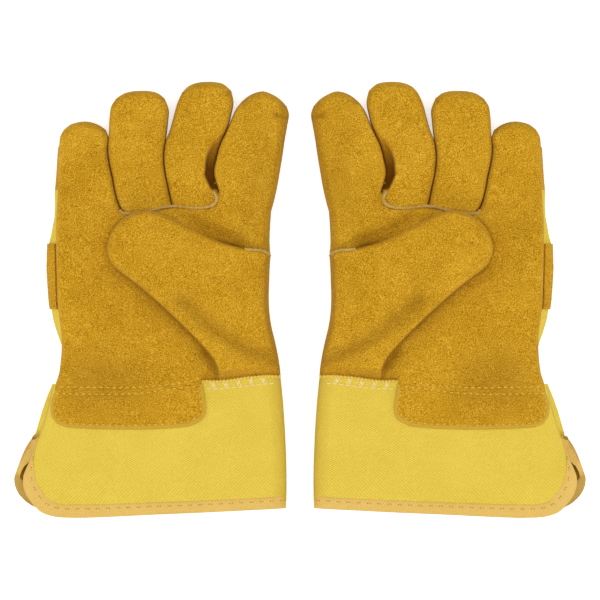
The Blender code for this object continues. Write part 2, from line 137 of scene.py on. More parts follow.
# Creases in the leather: depth and width
PALM_DENTS = {"index_crease": (1.1, 1.6), "thumb_crotch": (5, 5.5), "thumb_hollow": (2.5, 3)}
THUMB_DENTS = {"thenar_fold": (1.2, 5), "thenar_crease": (0.7, 2.5)}

# Painted shade along creases, folds, hollows and the thumb's edges on the leather: strength and width
PALM_SHADE_LINES = {"thumb_hollow": (0.5, 2), "thumb_lower": (0.5, 1.5), "thumb_tip": (0.3, 1.4)}
INDEX_SHADE_LINES = {"index_crease": (0.5, 2)}
THUMB_SHADE_LINES = {"thenar_fold": (0.38, 5)}
ROOT_SHADE_LINES = {**THUMB_SHADE_LINES, "thenar_crease": (0.26, 2)}

# Softer painted shade: strength and fading length, or one of them
PAINTED_THUMB_SHADOW = 0.38, 5
CUFF_SIDE_SHADE = 0.24, 9
CROTCH_WIDTH = 1.9
TIP_FADE = 20
VALLEY_SHADE = 0.085
CUFF_INSIDE_SHADE = 0.9

# Unevenness of the sheets: height, size and seed of each set of waves
LEATHER_WAVES = (0.55, 38, 3), (0.22, 13, 5)
THUMB_WAVES = (0.6, 34, 21), (0.25, 12, 22)
CUFF_WAVES = ((0.45, 45, 11),)
PATCH_WAVES = ((0.35, 26, 7),)

# Where one form goes over into another: start and end in u or y, or in both
FINGERS_Y = 35, 65
BULGE = (-54, -60), (92, 86)
SLIT = (-25, -65), (-80, -114)
SAG = (15, 25), (-62, -48)
TUCK_U = 22, 25
TUCK_ABOVE = 7, 0.5
WRIST = (26, 22), (-44, -55)
VALLEY_Y = 84, 98
ALLOWANCE_Y = -43, -50
ALLOWANCE_END = -86, -81
CUFF_INSIDE = (-60, -68), (-78, -86)
TILT_Y = -108, -100
FREE_Y = 65

# Lining, tip caps, strap and elastic, whose gathers are waves that turn by radians per mm
LINING_NARROWER = 0.955
LINING_DROP = 2.6
CAP_DROP = 0.2
STRAP_ENDS = -6.4, 34.2
STRAP_INSET = 2.4
STRAP_GAP = 0.2
ELASTIC_U = -45, 45
ELASTIC_Y = -46, -36
ELASTIC_LIFT = 1.8
GATHER_HEIGHT = 0.35
GATHER_RADIANS = 1.9

# Binding: its half profile in shares of width and thickness, the lower one's tilt, and where its seam runs
BINDING_PROFILE = (0, 0.5), (0.06, 0.95), (0.3, 1), (0.6, 1), (0.85, 0.9), (0.96, 0.55), (1, 0)
BINDING_TILT = 7
BINDING_HINGE = 0.6
BINDING_SEAM = 0.33

# Stitches: shares along a thread, its sides, its flatness, and how its ends sink, thin and darken with
# painted shade
STITCH_SHARES = np.array((0, 0.12, 0.35, 0.65, 0.88, 1))
STITCH_SIDES = 6
THREAD_FLATNESS = 0.75
THREAD_LIFT = 0.25
THREAD_SINK = 0.3
THREAD_TAPER = 0.4
DARKEST_HOLE_SHADE = 0.9
ROW_START = 0.5
WRIST_PITCH = 3.95
STRAP_STITCH_U = -69.3, -68
STRAP_STITCH_NEXT = 2
STRAP_STITCH_IN = 2.6

# Overlock: pitch of its groups, and the upper and lower ends of the three threads of each
GROUP_PITCH = 7.6
GROUP_START = 1.5
GROUP_END = 6
GROUP_THREADS = (1, 4.6), (2.6, 5.6), (4.4, 2.6)
WHIP_PITCH = 2.1
WHIP_DOWN = 0, 1.1
WHIP_UP = 0.7, 0.9

# Edges that turn by more degrees than this stay sharp
SHARP_TURN = 50

# Camera: lens and sensor, the width that it sees at the seams' height, and how far below the middle it looks
LENS = 500
SENSOR = 36
SEEN_WIDTH = 363.6
SEEN_LOWER = 0.45

# The crease of the fingers, where its welt ends, and the hand's side at the thumb
KNUCKLES = (-64.6, 51.1), (-25, 53.8), (-22, 52.2), (-15, 52.6), (-5.8, 54.1), (5.6, 56.3), \
    (13.2, 55.9), (21.2, 55.3), (32.8, 55.7), (65.5, 53)
WELT_END = 28, 55.6
THUMB_SIDE = (71.3, -50.5), (71.1, -44.4), (70, -35.9), (67.9, -25.6), (65.7, -16.5), (64.4, -6.8), \
    (64.1, 1.7), (64.4, 11.4)

# How far the back bulges out past the seam: y and width
BELLY = (-27, 0), (-19.5, 2.8), (-11.7, 4.3), (-6, 4.3), (8.3, 5.1), (18.6, 5.5), (33.8, 4.6), \
    (39.2, 3), (50, 0.9), (56, 1), (64, 1.9), (78, 0.9), (93, 0)
CUFF_BELLY = (-84, 0.4), (-82, 2.6), (-75, 3.2), (-68, 3.2), (-58, 1.6), (-51, 0.4)

# Lines where two fingers touch, from the crease up
LITTLE_RING = (-25, 53.8), (-27.2, 58.6), (-29.1, 65.5), (-30.6, 74), (-32.6, 82.9), (-33.5, 91.4)
RING_MIDDLE = (5.6, 56.3), (4.2, 62.5), (2.9, 69), (1.5, 75.5), (0.7, 81.5), (0.5, 87), (0.9, 91.5), \
    (1.9, 96.8)
MIDDLE_INDEX = (32.8, 55.7), (33.5, 60.5), (33.3, 66.3), (31.8, 71.5), (30.9, 76.2), (32.3, 84.9), \
    (34.2, 92.4), (37.9, 100.8)

# Outlines of the fingers: both sides from crease to tip, the tip between them, and where a tip cap starts
FINGERS = {
    "little": {
        "left": ((-64.6, 51.1), (-64, 59.8), (-63.7, 68.3), (-63.5, 76.8), (-63.3, 85.3), (-63, 93.2),
                 (-62.3, 98.9), (-59.9, 103.1)),
        "tip": ((-59.9, 103.1), (-56.3, 105.8), (-51.8, 107.3), (-47.1, 107.8), (-42.7, 107.1),
                (-38.6, 105.4), (-34.4, 102.4)),
        "right": LITTLE_RING + ((-32.9, 97.4), (-34.4, 102.4)),
        "cap": 0.27},
    "ring": {
        "left": LITTLE_RING + ((-32.8, 101), (-32.3, 110.7), (-31.2, 117.2), (-28.2, 121.7)),
        "tip": ((-28.2, 121.7), (-24, 124.6), (-19.1, 126), (-13.7, 126.4), (-8.2, 126.2), (-3.4, 125),
                (1, 121.6)),
        "right": RING_MIDDLE + ((2.6, 102), (3.2, 108), (3.6, 114.4), (1, 121.6)),
        "cap": 0.43},
    "middle": {
        "left": RING_MIDDLE + ((3.9, 101.8), (6.3, 110.3), (8.5, 118.2), (11.4, 124.9)),
        "tip": ((11.4, 124.9), (14.9, 128.8), (19.6, 131), (25, 131.8), (31, 131.7), (36.3, 130.6),
                (41.4, 126.3)),
        "right": MIDDLE_INDEX + ((40, 105.9), (41.5, 112.2), (42.7, 118.8), (41.4, 126.3)),
        "cap": 0.46},
    "index": {
        "left": MIDDLE_INDEX + ((40.1, 105.9), (41.9, 110.4), (44.2, 115.3), (47.8, 119.9)),
        "tip": ((47.8, 119.9), (51.9, 123.2), (56.5, 125.4), (61.2, 126), (66, 124.3), (71, 121.1),
                (74.9, 117)),
        "right": ((65.5, 53), (67.5, 60.4), (69.4, 69.2), (70.9, 78), (72.4, 87.1), (73.8, 96.8),
                  (75.4, 105.9), (76.3, 112.3), (74.9, 117)),
        "cap": None},
}
INNER_SIDES = "little_right", "ring_left", "ring_right", "middle_left"

# Where the thumb lifts
THUMB_FOLD = (34, -50.5), (45.2, 31.5)

# The lower binding: how wide it is over y, how many points it has, and which one is the cuff's corner
LOWER_WIDTH = (-140, 8), (-118, 8), (-111, 5.5), (-107.5, 3.4), (-104, 3), (-100, 3.6), \
    (-96, 6), (-88, 6.6), (-84.5, 3.6), (-82, 1.6)
LOWER_POINTS = 160
LOWER_CORNER = 60

# The ridge beside the valley, the valley's depth over y, the strength of the crotch's painted shade over u,
# and darker spots: centre, reach, strength
MIDDLE_RIDGE = (28.9, 65.7), (26.4, 70.9), (24.4, 75.6), (24.8, 78), (25, 82.6), (25.8, 87.2), \
    (26.8, 92), (28.4, 96.4), (34, 102)
VALLEY_DEPTH = (66.2, 0), (67.4, 9.5), (70, 11), (79, 11), (86, 8.5), (92, 5), (98, 2.2), (104, 0)
CROTCH_SHADE = (22, 0), (32, 0.35), (42, 0.85), (50, 0.5)
DARKER_SPOTS = ((-37, -50), (27, 21), 0.32), ((61, 70), (13, 34), 0.18)

# Outlines, seams and folds in the plan
OUTLINES = dict(
    # Hand
    hand_left=((-65.4, -55.9), (-64.8, -51.1), (-63.2, -45.6), (-62.1, -38.3), (-61.5, -29.8),
        (-61.6, -21.4), (-62.6, -12.9), (-63.8, -3.8), (-64.3, 8.3), (-64.6, 20.4), (-64.8, 32.6),
        (-64.8, 42.9), (-64.6, 51.1)),
    palm_bottom=((-65.4, -55.9), (-40.9, -56), (-19.7, -55.9), (3.3, -53.5), (24.5, -51.4), (43.9, -51.4),
        (60.3, -51.7)),
    palm_side=((60.3, -51.7), (57.8, -37.1), (56.6, -18.9), (57.2, -0.8), (59.1, 14.4), (62.7, 24.7),
        (64.4, 29.5), (64.5, 35.6), (64.9, 44.1), (65.5, 53)),
    back_bottom=((-65.4, -55.9), (-25.8, -55.9), (22.7, -54.1), (71.3, -50.5)),
    back_right=THUMB_SIDE + ((64.7, 19.8), (65, 26.2), (64.6, 34.4), (64.9, 44.1), (65.5, 53)),
    # Thumb, which lies across the palm and lifts at its fold
    thumb_lower=((34, -44.4), (30.9, -36.8), (24.5, -28.9), (16.3, -20.3), (6.2, -10.5), (-4, -1.1),
        (-14, 7.5), (-21.5, 13.6), (-27.3, 18)),
    thumb_tip=((-27.3, 18), (-31.2, 22.6), (-33.3, 28.3), (-32.7, 35.6), (-29.7, 42.3), (-24.9, 48)),
    thumb_upper=((45.2, 31.5), (37.8, 33.4), (28.8, 36.8), (20.3, 41.1), (12.4, 45.3), (4.5, 49.4),
        (-2.8, 52.4), (-10, 53.7), (-17.3, 52.3), (-24.9, 48)),
    root_bottom=((34, -50.5), (46.9, -51.7), (60.3, -51.4), (71.3, -50.5)),
    root_right=THUMB_SIDE + ((64.6, 19.8), (65.2, 26.2)),
    root_top=((45.2, 31.5), (51.8, 30), (60.3, 28.9), (65.2, 26.2)),
    # Cuff: the upper binding's two edges correspond point by point
    cuff_top=((-66.2, -51.4), (-37.9, -51.7), (-7.6, -51.4), (16.6, -49.8), (24.5, -49), (32.4, -49.2),
        (39.7, -48.6), (47.5, -47.4), (56, -46.5), (63.9, -45.8), (71.1, -46.4)),
    cuff_right=((74.8, -122.6), (74.8, -103.8), (74.3, -88.6), (73.5, -73.5), (72.5, -60.1), (71.1, -46.4)),
    cuff_seam=((-75.2, -82.8), (-72.7, -75.9), (-70.4, -68), (-68.3, -58.9), (-66.2, -51.4)),
    binding_inner=((-75.2, -82.8), (-76.7, -88), (-78, -94.1), (-78.2, -99.8), (-77.5, -105.5),
        (-75.8, -111.1), (-72.8, -116.3), (-69.4, -120.4), (-66.1, -122.7), (-61.2, -123.9), (-52.4, -124.1),
        (-34.3, -123.8), (-7.6, -122.9), (22.7, -121.8), (53, -120.4), (74.8, -119.1)),
    binding_outer=((-76, -82.9), (-77.8, -89.2), (-79.8, -95.9), (-82.6, -102), (-84.4, -106.8),
        (-84.7, -111.7), (-83.1, -117.7), (-79.2, -123.5), (-73.7, -128.7), (-65.8, -131.4), (-54.9, -132.2),
        (-34.9, -131.7), (-7.6, -130.4), (22.7, -129.1), (53, -127.6), (74.6, -126.5)),
    lower_edge=((-77, -82.4), (-79.7, -84.7), (-82.3, -88.2), (-84.6, -92.6), (-86.8, -98), (-89, -104.1),
        (-90.3, -108.3), (-90, -112.6), (-88, -117.4), (-84.3, -121.8), (-79.1, -125.5), (-71.8, -128.3),
        (-63.4, -130.3), (-50, -131), (-7.6, -129.2), (34.8, -127.2), (74.2, -125.2)),
    # Leather patch below the wrist
    patch_left=((-64, -75.2), (-66.9, -71.7), (-68.1, -66.2), (-67.6, -60.8), (-65.4, -55.9)),
    patch_bottom=((-64, -75.2), (-59.7, -77), (-53.1, -77.7), (-37.9, -78.4), (-19.7, -78.7), (-1.5, -78.3),
        (10.6, -77.4), (17.2, -76.4), (22.4, -73.8)),
    patch_right=((22.4, -73.8), (25.2, -71.1), (26.3, -67.1), (26, -61.4), (25.1, -55.9), (24.5, -51.4)),
    # Rows of stitches, and welts
    stitch_upper=((-62.9, -52.9), (-44, -53.2), (-24.6, -53.5), (-10, -52.8), (3.3, -51.7), (14.2, -50),
        (24, -48.6)),
    stitch_lower=((-65.8, -57), (-44, -57.3), (-17.3, -57), (-4.6, -55.8), (5.7, -54.2), (15.4, -53.1),
        (24, -52.6)),
    stitch_patch=((-65.4, -59.5), (-65.5, -63.8), (-65, -68.6), (-63.2, -72.6), (-60.6, -74), (-55.5, -75),
        (-37.9, -75.8), (-27.6, -76.3), (-7.6, -75.9), (9.8, -74.7), (17.2, -73.1), (21.7, -70.3),
        (23.3, -65.6), (22.9, -60.1), (21.5, -55)),
    overlock_low=((25.6, -54.1), (33, -54.1), (41.5, -53.5), (50.4, -52.5), (59.1, -51.3), (70.6, -50.7)),
    overlock_high=((25.6, -49.4), (32.4, -49.6), (39.7, -49), (47.5, -47.8), (56, -46.9), (70.6, -46.6)),
    finger_piping=((-26, 54.1), (-24.9, 52.6), (-22.1, 51.8), (-17.3, 52.2), (-11.8, 53.1), (-5.8, 54),
        (0.3, 55.7), (7.1, 56.4), (13.2, 55.8), (21.2, 55.2), (26.9, 55.8), (30.8, 57.5), (32.5, 60.1),
        (32, 62.9), (30.5, 65.1)),
    thumb_piping=((49.4, 30.4), (53, 30), (57.2, 29.9), (61.5, 28.9), (63.7, 27.6), (65.1, 26)),
    # Folds and hollows
    thenar_fold=((11.8, -0.8), (31.2, -17.7), (51.2, -30.5), (67.5, -37.7)),
    thenar_crease=((39.7, -23.8), (54.2, -28.6), (65.1, -31.1)),
    thumb_crotch=((44, 35), (37, 37.5), (27, 41.5), (17, 46.5)),
    thumb_hollow=((26, -32), (31, -39.5), (32.6, -47)),
    crotch_corner=((49, 30.9), (43.5, 32.6), (37.8, 34.3), (30, 37.6), (22, 41.6)),
    index_crease=((69, 111.4), (72.6, 110.6), (76.2, 109.6)),
)


# Curves and grids in the plan

def ramp(value, start, end):
    """0 at the start, 1 at the end, smooth in between."""
    share = np.clip((value - start) / (end - start), 0, 1)
    return share * share * (3 - 2 * share)


def profile(value, table):
    """The second column of a table, read off between the values of its first."""
    return np.interp(value, *np.array(table).T)


def lengths(line):
    """How far along a line each of its points lies."""
    return np.concatenate(([0], np.cumsum(np.linalg.norm(np.diff(line, axis=0), axis=1))))


def trace(points, steps=9):
    """A smooth line through points, as many short straight ones."""
    points = np.array(points, float)
    at = lengths(points)
    slope = np.gradient(points, at, axis=0)
    fine = [np.linspace(a, b, steps, endpoint=False) for a, b in zip(at, at[1:])]
    fine = np.concatenate(fine + [at[-1:]])
    k = np.clip(np.searchsorted(at, fine, side="right") - 1, 0, len(at) - 2)
    span = (at[k + 1] - at[k])[:, None]
    t = (fine - at[k])[:, None] / span
    return ((2 * t ** 3 - 3 * t ** 2 + 1) * points[k] + (t ** 3 - 2 * t ** 2 + t) * span * slope[k]
            + (3 * t ** 2 - 2 * t ** 3) * points[k + 1] + (t ** 3 - t ** 2) * span * slope[k + 1])


def along(line, share):
    """The points at these shares of a line's length."""
    at = lengths(line)
    place = np.asarray(share) * at[-1]
    return np.stack([np.interp(place, at, line[:, k]) for k in range(line.shape[1])], axis=-1)


def to_left(line):
    """The direction to the left of a line at each of its points."""
    way = np.gradient(line, axis=0)
    way /= np.linalg.norm(way, axis=1)[:, None]
    return np.stack((-way[:, 1], way[:, 0]), axis=-1)


def eased(count):
    """Shares from 0 to 1 that are closer together at both ends, where a panel curves most."""
    even = np.linspace(0, 1, count)
    return 0.45 * even + 0.55 * (1 - np.cos(math.pi * even)) / 2


def patchwork(bottom, top, left, right, rows, columns):
    """A grid of places in the plan that fills four lines. Rows run from bottom to top."""
    s, t = eased(columns), eased(rows)
    low, high, start, end = along(bottom, s), along(top, s), along(left, t), along(right, t)
    s, t = s[None, :, None], t[:, None, None]
    return ((1 - t) * low[None] + t * high[None] + (1 - s) * start[:, None] + s * end[:, None]
            - (1 - s) * (1 - t) * low[0] - s * (1 - t) * low[-1] - (1 - s) * t * high[0] - s * t * high[-1])


def distance(places, name):
    """How far each place lies from a line."""
    line = LINES[name]
    flat = places.reshape(-1, 2)
    best = np.full(len(flat), np.inf)
    for a, b in zip(line[:-1], line[1:]):
        way = b - a
        share = np.clip((flat - a) @ way / (way @ way), 0, 1)
        best = np.minimum(best, np.linalg.norm(flat - a - share[:, None] * way, axis=1))
    return best.reshape(places.shape[:-1])


def roll(places, name, reach, power=ROUND):
    """0 on an edge and 1 from reach inwards, rounded in between as a turned seam is."""
    q = np.clip(distance(places, name) / reach, 0, 1)
    return (1 - (1 - q) ** power) ** (1 / power)


def groove(places, name, width):
    """1 on a line, fading to both sides."""
    return np.exp(-(distance(places, name) / width) ** 2)


def waves(places, size, seed):
    """Soft unevenness from seven crossing waves of about this size, between about -1 and 1."""
    chance = np.random.default_rng(seed)
    total = np.zeros(places.shape[:-1])
    for turn, phase, stretch in chance.uniform((0, 0, 0.7), (math.pi, 2 * math.pi, 1.5), (7, 3)):
        way = places[..., 0] * math.cos(turn) + places[..., 1] * math.sin(turn)
        total += np.sin(2 * math.pi * way / (size * stretch) + phase)
    return total / 3.7


# Lines in the plan by name. Of the palm's side only the part above the thumb's root is an edge.
LINES = {name: trace(points) for name, points in OUTLINES.items()}
LINES["palm_right"] = trace(OUTLINES["palm_side"][5:])
LINES["slit_upper"] = LINES["binding_outer"][:UPPER_SLIT_POINTS]
LINES["slit_lower"] = LINES["lower_edge"][:LOWER_SLIT_POINTS]
LINES["knuckles"] = np.array(KNUCKLES)
LINES["set_in"] = np.array(KNUCKLES[1:8] + (WELT_END,))
LINES["root_left"] = np.array((THUMB_FOLD[0], OUTLINES["thumb_lower"][0], THUMB_FOLD[1]))
LINES["thumb_base"] = LINES["root_left"][1:]
for finger, sides in FINGERS.items():
    for side in ("left", "tip", "right"):
        LINES[f"{finger}_{side}"] = trace(sides[side])
for name in ("index_left", "middle_right"):
    LINES[f"{name}_free"] = np.array([place for place in LINES[name] if place[1] > FREE_Y])


# Surfaces: heights over places in the plan

def within(places, across, up):
    """0 to 1 over a stretch in u, times the same over a stretch in y."""
    return ramp(places[..., 0], *across) * ramp(places[..., 1], *up)


def rolled(places, reach, *names, power=ROUND):
    return np.min([roll(places, name, reach, power) for name in names], axis=0)


def dents(places, table):
    return sum(depth * groove(places, name, width) for name, (depth, width) in table.items())


def welt_dip(places, depth, width):
    return depth * (1 - roll(places, "set_in", width))


def uneven(places, table):
    return sum(height * waves(places, size, seed) for height, size, seed in table)


def over_fingers(places):
    return ramp(places[..., 1], *FINGERS_Y)


def seam_height(places):
    """The seam between palm side and back. It lies higher between the inner fingers."""
    inner = np.max([groove(places, name, SIDE_RISE_WIDTH) for name in INNER_SIDES], axis=0)
    return HAND_SEAM + (FINGER_SEAM - HAND_SEAM) * over_fingers(places) + SIDE_RISE * inner


def back_seam(places):
    """The back's edge: at the seam, and below it on the little finger side, where the back bulges past it."""
    return seam_height(places) - SEAM_GAP - BULGE_DROP * within(places, *BULGE)


def crown(places):
    return PALM_TOP + (FINGER_TOP - PALM_TOP) * over_fingers(places)


def leather_top(places, edge):
    """Leather that rises from the seam to the crown, by how far it has rounded over its edge."""
    seam = seam_height(places)
    return seam + (crown(places) - seam) * edge + uneven(places, LEATHER_WAVES) * edge


def cuff_slit(places):
    """0 above the slit, 1 at the hem, on the little finger side only."""
    return within(places, *SLIT)


def cuff_upper(places):
    base = HAND_SEAM + SLIT_LIFT * cuff_slit(places)
    top = CUFF_TOP - CUFF_SAG * within(places, *SAG)
    edge = np.minimum(rolled(places, CUFF_ROLL, "cuff_seam", "cuff_right"),
                      rolled(places, UPPER_SLIT_ROLL, "slit_upper"))
    return base + (top - base) * edge + uneven(places, CUFF_WAVES) * edge


def cuff_lower(places):
    base = back_seam(places) - SLIT_DROP * cuff_slit(places)
    edge = np.minimum(rolled(places, CUFF_ROLL, "cuff_seam", "cuff_right"),
                      rolled(places, LOWER_SLIT_ROLL, "slit_lower"))
    return base - (base - CUFF_FLOOR) * edge


def tucked(places, height):
    """A height that goes down under the cuff's top edge, beside the patch."""
    above = places[..., 1] - profile(places[..., 0], OUTLINES["cuff_top"])
    share = ramp(places[..., 0], *TUCK_U) * ramp(above, *TUCK_ABOVE)
    return height + (cuff_upper(places) - CANVAS - CUFF_TUCK - height) * share


def patch_top(places):
    edge = rolled(places, PATCH_ROLL, "patch_left", "patch_bottom", "patch_right")
    sewn = np.max([groove(places, name, STITCH_PULL_WIDTH)
                   for name in ("stitch_upper", "stitch_lower", "stitch_patch")], axis=0)
    height = cuff_upper(places) + PATCH_LIFT + PATCH_RISE * edge - STITCH_PULL * sewn
    return height + uneven(places, PATCH_WAVES) * edge


def palm_top(places):
    """The leather of the hand and of the two outer fingers, which are cut in one piece with it."""
    edge = np.min([rolled(places, OUTER_ROLL, "palm_right", "little_tip", "index_right", "index_tip"),
                   rolled(places, SIDE_ROLL, "hand_left", "little_left"),
                   rolled(places, SIDE_ROLL, "little_right", "index_left_free", power=SQUARE)], axis=0)
    height = leather_top(places, edge) - welt_dip(places, *PALM_WELT_DIP) - dents(places, PALM_DENTS)
    return tucked(places, height + (patch_top(places) - height) * within(places, *WRIST))


def valley(places):
    """How deep the middle finger drops beside the index finger, past its ridge."""
    y = places[..., 1]
    past = places[..., 0] - profile(y, np.array(MIDDLE_RIDGE)[:, ::-1])
    return profile(y, VALLEY_DEPTH) * ramp(past, 0, VALLEY_EDGE + VALLEY_SOFTER * ramp(y, *VALLEY_Y))


def set_in_top(places, finger):
    """The leather of a finger that is sewn to the palm at the welt."""
    right = "middle_right_free" if finger == "middle" else f"{finger}_right"
    edge = np.minimum(rolled(places, SIDE_ROLL, f"{finger}_left", right, power=SQUARE),
                      rolled(places, TIP_ROLL, f"{finger}_tip"))
    height = leather_top(places, edge) - welt_dip(places, *FINGER_WELT_DIP)
    return height - valley(places) * edge if finger == "middle" else height


def from_fold(places):
    """How far a place lies from the thumb's fold, towards the tip."""
    low, high = np.array(THUMB_FOLD)
    way = (high - low) / np.linalg.norm(high - low)
    off = places - low
    return way[0] * off[..., 1] - way[1] * off[..., 0]


def thumb_bed(places):
    """The palm that the thumb lies on."""
    seam = seam_height(places)
    return seam + (crown(places) - seam) * roll(places, "root_right", ROOT_ROLL)


def thumb_thickness(places):
    off = from_fold(places)
    before = FOLD_THICKNESS * ramp(off, -THUMB_START, 0)
    return np.where(off < 0, before, FOLD_THICKNESS + THUMB_GAIN * ramp(off, 0, THUMB_LENGTH))


def thumb_top(places):
    edge = rolled(places, THUMB_ROLL, "thumb_lower", "thumb_tip", "thumb_upper")
    from_side = ramp(distance(places, "root_right"), 0, ROOT_RISE_WIDTH)
    height = thumb_bed(places) + (LEATHER + THUMB_CLEARANCE) * from_side
    height += thumb_thickness(places) * (THUMB_EDGE + (1 - THUMB_EDGE) * edge)
    height -= ROOT_DIP * (1 - roll(places, "root_top", ROOT_DIP_WIDTH)) + dents(places, THUMB_DENTS)
    return tucked(places, height + uneven(places, THUMB_WAVES) * edge)


def thumb_under(places):
    edge = rolled(places, THUMB_BACK_ROLL, "thumb_lower", "thumb_tip", "thumb_upper")
    share = THUMB_BACK_EDGE - THUMB_BACK_DROP * edge
    return thumb_bed(places) + LEATHER + THUMB_CLEARANCE + thumb_thickness(places) * share


def back_under(places):
    edge = rolled(places, BACK_ROLL, "hand_left", "root_right", "palm_right")
    seam = back_seam(places)
    return seam - (seam - BACK_FLOOR) * edge


def finger_under(places, finger):
    edge = rolled(places, FINGER_BACK_ROLL, f"{finger}_left", f"{finger}_tip", f"{finger}_right")
    seam = back_seam(places)
    low = BACK_FLOOR + (FINGER_FLOOR - BACK_FLOOR) * over_fingers(places)
    return seam - (seam - low) * edge


def raised(places, height):
    return np.concatenate((places, height[..., None]), axis=-1)


def bulged(grid, line, out):
    """A grid whose side at a line stands out past it by this much, as a soft back does past a flat palm."""
    near = distance(grid[..., :2], line)
    round_side = np.sin(math.pi * np.sqrt(np.clip(near / BULGE_REACH, 0, 1)))
    width = profile(grid[..., 1], out)
    moved = grid.copy()
    moved[..., 0] -= np.where(width > 0, width + BULGE_START, 0) * round_side
    return moved


def allowed(grid):
    """A grid with the seam allowance of its little finger side, which is turned up inside the palm side."""
    y = grid[:, 0, 1]
    turned = np.zeros_like(grid[:, 0])
    turned[:, 0] = ALLOWANCE_IN
    turned[:, 2] = ALLOWANCE_UP * (1 + ramp(y, *ALLOWANCE_Y))
    share = ALLOWANCE_LEAST + (1 - ALLOWANCE_LEAST) * ramp(y, *ALLOWANCE_END)
    return np.concatenate(((grid[:, 0] + share[:, None] * turned)[:, None], grid), axis=1)


# Finishes

# Suede patterns: size in mm, detail, roughness, weight. Real nap is finer, and is drawn coarser to show.
SUEDE_LEVEL = -0.78
SUEDE_MOTTLE = 27.78, 3.0, 0.5, 0.35
SUEDE_BLOTCHES = 5.882, 3.0, 0.5, 0.22
SUEDE_NAP = 0.6667, 1.5, 0.7, 2.0

# Drill patterns: turn, spacing in mm and weight of ridges and breaks, size in mm and weight of uneven yarn
DRILL_LEVEL = -0.32
DRILL_RIDGES = -60, 1.07, 0.5
DRILL_BREAKS = 50, 1.5, 0.24
DRILL_SLUBS = 1.111, 0.6
DRILL_CLOUDS = 22.22, 0.3

# All of these surfaces are matt and reflect little
MATT = 0.15


def colour(text):
    """A colour as it is seen, such as #c49225, in the linear values that Blender mixes."""
    values = [int(text[k:k + 2], 16) / 255 for k in (1, 3, 5)]
    return [v / 12.92 if v <= 0.04045 else ((v + 0.055) / 1.055) ** 2.4 for v in values] + [1.0]


def node(tree, kind, inputs=None, stops=None, **settings):
    """Adds a node. An input given as another node's socket is linked to it, any other is set."""
    made = tree.nodes.new("ShaderNode" + kind)
    for name, value in settings.items():
        setattr(made, name, value)
    for name, value in (inputs or {}).items():
        if isinstance(value, bpy.types.NodeSocket):
            tree.links.new(value, made.inputs[name])
        else:
            made.inputs[name].default_value = value
    for k, (place, text) in enumerate(stops or ()):
        elements = made.color_ramp.elements
        stop = elements[k] if k < 2 else elements.new(place)
        stop.position = place
        stop.color = colour(text)
    return made


def new_material(name):
    made = bpy.data.materials.new(name)
    made.use_nodes = True
    return made, made.node_tree, made.node_tree.nodes["Principled BSDF"]


def shaded(tree, tone, shade, other):
    """A tone that goes over to another colour by a shade that the mesh carries."""
    share = node(tree, "Attribute", attribute_name=shade).outputs["Fac"]
    return node(tree, "Mix", {0: share, 6: tone, 7: colour(other)}, data_type="RGBA").outputs[2]


def noise(tree, size, detail=2.0, roughness=0.5):
    """An uneven pattern of about this size in mm."""
    where = node(tree, "TexCoord").outputs["Object"]
    return node(tree, "TexNoise", {"Vector": where, "Scale": 1 / (size * MM), "Detail": detail,
                                   "Roughness": roughness}).outputs["Fac"]


def added(tree, level, pattern, weight):
    return node(tree, "Math", {0: pattern, 1: weight, 2: level}, operation="MULTIPLY_ADD").outputs[0]


def bumped(tree, shader, height, strength, depth):
    bump = node(tree, "Bump", {"Height": height, "Strength": strength, "Distance": depth * MM})
    tree.links.new(bump.outputs["Normal"], shader.inputs["Normal"])


def surfaced(tree, shader, tone, roughness):
    tree.links.new(tone, shader.inputs["Base Color"])
    shader.inputs["Roughness"].default_value = roughness
    shader.inputs["Specular IOR Level"].default_value = MATT


def suede():
    """Split leather: matt ochre nap, blotchy and specked, with painted shade, darker spots and a paler
    pressed rim.
    """
    made, tree, shader = new_material("split suede leather")
    level = SUEDE_LEVEL
    for size, detail, roughness, weight in (SUEDE_MOTTLE, SUEDE_BLOTCHES, SUEDE_NAP):
        pattern = noise(tree, size, detail, roughness)
        level = added(tree, level, pattern, weight)
    tone = node(tree, "ValToRGB", {"Fac": level},
                stops=((0.0, "#855602"), (1.0, "#f4c242"), (0.5, "#cb9615"))).outputs["Color"]
    # Painted shade in creases, hollows, gaps and along edges, and darker spots, turn the tone dark brown
    folded = shaded(tree, tone, "crease", "#7a4a06")
    surfaced(tree, shader, shaded(tree, folded, "rim", "#cfa93c"), 0.95)
    # The last pattern, the nap, also stands up
    bumped(tree, shader, pattern, strength=0.5, depth=0.4)
    shader.inputs["Sheen Weight"].default_value = 0.12
    shader.inputs["Sheen Tint"].default_value = colour("#f6d68a")
    return made


def twill(name, low, high, dark):
    """Cotton drill: fine slanting ridges of yellow yarn, broken and a little uneven."""
    made, tree, shader = new_material(name)
    cloth = node(tree, "UVMap", uv_map="cloth").outputs["UV"]
    level = DRILL_LEVEL
    heights = []
    for turn, spacing, weight in (DRILL_RIDGES, DRILL_BREAKS):
        turned = node(tree, "Mapping", {"Vector": cloth, "Rotation": (0, 0, math.radians(turn))})
        # The wave texture repeats every pi / 10 of its own unit
        heights.append(node(tree, "TexWave", {
            "Vector": turned.outputs["Vector"], "Scale": math.pi / 10 / (spacing * MM), "Distortion": 0.8,
            "Detail": 1.0, "Detail Scale": 1.5}).outputs["Fac"])
        level = added(tree, level, heights[-1], weight)
    for size, weight in (DRILL_SLUBS, DRILL_CLOUDS):
        level = added(tree, level, noise(tree, size), weight)
    tone = node(tree, "ValToRGB", {"Fac": level}, stops=((0.0, low), (1.0, high)))
    # Painted shade that the mesh carries turns the tone towards the dark colour
    surfaced(tree, shader, shaded(tree, tone.outputs["Color"], "crease", dark), 0.9)
    bumped(tree, shader, heights[0], strength=0.35, depth=0.2)
    return made


